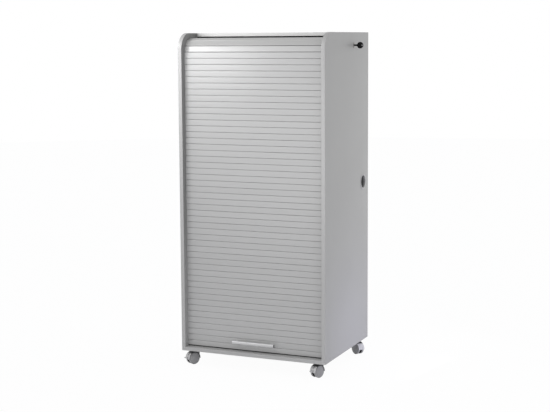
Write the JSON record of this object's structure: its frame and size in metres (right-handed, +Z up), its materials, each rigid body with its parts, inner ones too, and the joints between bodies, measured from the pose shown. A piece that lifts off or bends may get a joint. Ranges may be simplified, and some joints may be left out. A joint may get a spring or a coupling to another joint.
{
  "type": "mobile computer cabinet",
  "caption": "Tall silver computer cabinet on casters, closed by a roller shutter that bends over the front top corner, with a bar handle, side key lock and side cable hole.",
  "frame": {"origin": "on the floor under the middle of the carcass", "axes": "+Z up, -Y towards the shutter front, +X towards the side with the lock"},
  "size_m": [0.683, 0.5182, 1.383],
  "materials": {
    "outer_board": "satin silver melamine",
    "shelf_board": "satin silver melamine",
    "back_sheet": "painted hardboard",
    "slat": "satin silver",
    "handle_metal": "satin anodised",
    "steel": "zinc plated",
    "lock_metal": "nickel plated",
    "black_plastic": "black",
    "seal_rubber": "matt black",
    "grommet_plastic": "grey",
    "hood_plastic": "silver grey",
    "wheel_plastic": "grey"
  },
  "bodies": {
    "carcass": {"left_side_panel": "outer_board", "right_side_panel": "outer_board", "top_panel": "outer_board", "bottom_panel": "outer_board", "rear_panel": "back_sheet", "inner_back_panel": "back_sheet", "upper_shelf": "shelf_board", "monitor_shelf": "shelf_board", "lower_shelf": "shelf_board", "shelf_supports": "steel", "left_guide_rail": "steel", "right_guide_rail": "steel", "lock_housing": "lock_metal", "lock_nut": "steel", "cable_grommet": "grommet_plastic", "caster_plates": "steel", "caster_screws": "steel", "shutter_bend_slats": "slat", "shutter_top_slats": "slat"},
    "shutter": {"shutter_bottom_rail": "slat", "shutter_seal": "seal_rubber", "shutter_handle_slat": "slat", "handle_bar": "handle_metal", "handle_posts": "handle_metal", "handle_screws": "steel"},
    "tray": {"keyboard_tray": "shelf_board", "left_tray_runner": "steel", "right_tray_runner": "steel"},
    "lock_rotor": {"lock_plug": "lock_metal", "lock_cam": "steel", "cam_screw": "steel", "key_blade": "steel", "key_bow": "black_plastic"},
    "slat_group_1": {"shutter_slats_1": "slat"},
    "slat_group_2": {"shutter_slats_2": "slat"},
    "slat_group_3": {"shutter_slats_3": "slat"},
    "slat_group_4": {"shutter_slats_4": "slat"},
    "slat_group_5": {"shutter_slats_5": "slat"},
    "slat_group_6": {"shutter_slats_6": "slat"},
    "slat_group_7": {"shutter_slats_7": "slat"},
    "slat_group_8": {"shutter_slats_8": "slat"},
    "slat_group_9": {"shutter_slats_9": "slat"},
    "caster_front_left": {"caster_hood_front_left": "hood_plastic", "caster_axle_front_left": "steel"},
    "wheel_front_left_left": {"caster_wheel_front_left_left": "wheel_plastic"},
    "wheel_front_left_right": {"caster_wheel_front_left_right": "wheel_plastic"},
    "brake_front_left": {"brake_lever_front_left": "hood_plastic"},
    "caster_front_right": {"caster_hood_front_right": "hood_plastic", "caster_axle_front_right": "steel"},
    "wheel_front_right_left": {"caster_wheel_front_right_left": "wheel_plastic"},
    "wheel_front_right_right": {"caster_wheel_front_right_right": "wheel_plastic"},
    "brake_front_right": {"brake_lever_front_right": "hood_plastic"},
    "caster_rear_right": {"caster_hood_rear_right": "hood_plastic", "caster_axle_rear_right": "steel"},
    "wheel_rear_right_left": {"caster_wheel_rear_right_left": "wheel_plastic"},
    "wheel_rear_right_right": {"caster_wheel_rear_right_right": "wheel_plastic"},
    "caster_rear_left": {"caster_hood_rear_left": "hood_plastic", "caster_axle_rear_left": "steel"},
    "wheel_rear_left_left": {"caster_wheel_rear_left_left": "wheel_plastic"},
    "wheel_rear_left_right": {"caster_wheel_rear_left_right": "wheel_plastic"}
  },
  "joints": [
    {"name": "shutter_slide", "type": "slide", "parent": "carcass", "child": "shutter", "axis": [0, 0, 1], "range_m": [0, 1.125], "deforming": ["shutter_slats_1", "shutter_slats_2", "shutter_slats_3", "shutter_slats_4", "shutter_slats_5", "shutter_slats_6", "shutter_slats_7", "shutter_slats_8", "shutter_slats_9"]},
    {"name": "slat_group_1_slide", "type": "slide", "parent": "carcass", "child": "slat_group_1", "axis": [0, 0, 1], "range_m": [0, 1.07671]},
    {"name": "slat_group_2_slide", "type": "slide", "parent": "carcass", "child": "slat_group_2", "axis": [0, 0, 1], "range_m": [0, 0.95171]},
    {"name": "slat_group_3_slide", "type": "slide", "parent": "carcass", "child": "slat_group_3", "axis": [0, 0, 1], "range_m": [0, 0.82671]},
    {"name": "slat_group_4_slide", "type": "slide", "parent": "carcass", "child": "slat_group_4", "axis": [0, 0, 1], "range_m": [0, 0.70171]},
    {"name": "slat_group_5_slide", "type": "slide", "parent": "carcass", "child": "slat_group_5", "axis": [0, 0, 1], "range_m": [0, 0.57671]},
    {"name": "slat_group_6_slide", "type": "slide", "parent": "carcass", "child": "slat_group_6", "axis": [0, 0, 1], "range_m": [0, 0.45171]},
    {"name": "slat_group_7_slide", "type": "slide", "parent": "carcass", "child": "slat_group_7", "axis": [0, 0, 1], "range_m": [0, 0.32671]},
    {"name": "slat_group_8_slide", "type": "slide", "parent": "carcass", "child": "slat_group_8", "axis": [0, 0, 1], "range_m": [0, 0.20171]},
    {"name": "slat_group_9_slide", "type": "slide", "parent": "carcass", "child": "slat_group_9", "axis": [0, 0, 1], "range_m": [0, 0.07671]},
    {"name": "tray_slide", "type": "slide", "parent": "carcass", "child": "tray", "axis": [0, -1, 0], "range_m": [0, 0.28]},
    {"name": "key_turn", "type": "hinge", "parent": "carcass", "child": "lock_rotor", "pos_m": [0.321, 0.0755, 1.33], "axis": [1, 0, 0], "range_deg": [0, 90]},
    {"name": "swivel_front_left", "type": "hinge", "parent": "carcass", "child": "caster_front_left", "pos_m": [-0.28, -0.2005, 0.055], "axis": [0, 0, 1], "continuous": true},
    {"name": "roll_front_left_left", "type": "hinge", "parent": "caster_front_left", "child": "wheel_front_left_left", "pos_m": [-0.2905, -0.21869, 0.025], "axis": [-0.866, 0.5, 0], "continuous": true},
    {"name": "roll_front_left_right", "type": "hinge", "parent": "caster_front_left", "child": "wheel_front_left_right", "pos_m": [-0.2905, -0.21869, 0.025], "axis": [-0.866, 0.5, 0], "continuous": true},
    {"name": "brake_press_front_left", "type": "hinge", "parent": "caster_front_left", "child": "brake_front_left", "pos_m": [-0.3005, -0.23601, 0.037], "axis": [0.866, -0.5, 0], "range_deg": [0, 10]},
    {"name": "swivel_front_right", "type": "hinge", "parent": "carcass", "child": "caster_front_right", "pos_m": [0.28, -0.2005, 0.055], "axis": [0, 0, 1], "continuous": true},
    {"name": "roll_front_right_left", "type": "hinge", "parent": "caster_front_right", "child": "wheel_front_right_left", "pos_m": [0.27213, -0.21997, 0.025], "axis": [-0.9272, 0.3746, 0], "continuous": true},
    {"name": "roll_front_right_right", "type": "hinge", "parent": "caster_front_right", "child": "wheel_front_right_right", "pos_m": [0.27213, -0.21997, 0.025], "axis": [-0.9272, 0.3746, 0], "continuous": true},
    {"name": "brake_press_front_right", "type": "hinge", "parent": "caster_front_right", "child": "brake_front_right", "pos_m": [0.26464, -0.23852, 0.037], "axis": [0.9272, -0.3746, 0], "range_deg": [0, 10]},
    {"name": "swivel_rear_right", "type": "hinge", "parent": "carcass", "child": "caster_rear_right", "pos_m": [0.28, 0.2075, 0.055], "axis": [0, 0, 1], "continuous": true},
    {"name": "roll_rear_right_left", "type": "hinge", "parent": "caster_rear_right", "child": "wheel_rear_right_left", "pos_m": [0.29741, 0.19576, 0.025], "axis": [-0.5592, -0.829, 0], "continuous": true},
    {"name": "roll_rear_right_right", "type": "hinge", "parent": "caster_rear_right", "child": "wheel_rear_right_right", "pos_m": [0.29741, 0.19576, 0.025], "axis": [-0.5592, -0.829, 0], "continuous": true},
    {"name": "swivel_rear_left", "type": "hinge", "parent": "carcass", "child": "caster_rear_left", "pos_m": [-0.28, 0.2075, 0.055], "axis": [0, 0, 1], "continuous": true},
    {"name": "roll_rear_left_left", "type": "hinge", "parent": "caster_rear_left", "child": "wheel_rear_left_left", "pos_m": [-0.28718, 0.22723, 0.025], "axis": [0.9397, 0.342, 0], "continuous": true},
    {"name": "roll_rear_left_right", "type": "hinge", "parent": "caster_rear_left", "child": "wheel_rear_left_right", "pos_m": [-0.28718, 0.22723, 0.025], "axis": [0.9397, 0.342, 0], "continuous": true}
  ],
  "couplings": [
    {"joint": "slat_group_1_slide", "follows": "shutter_slide", "ratio": 0.95707},
    {"joint": "slat_group_2_slide", "follows": "shutter_slide", "ratio": 0.84596},
    {"joint": "slat_group_3_slide", "follows": "shutter_slide", "ratio": 0.73484},
    {"joint": "slat_group_4_slide", "follows": "shutter_slide", "ratio": 0.62373},
    {"joint": "slat_group_5_slide", "follows": "shutter_slide", "ratio": 0.51262},
    {"joint": "slat_group_6_slide", "follows": "shutter_slide", "ratio": 0.40151},
    {"joint": "slat_group_7_slide", "follows": "shutter_slide", "ratio": 0.2904},
    {"joint": "slat_group_8_slide", "follows": "shutter_slide", "ratio": 0.17929},
    {"joint": "slat_group_9_slide", "follows": "shutter_slide", "ratio": 0.068178}
  ]
}
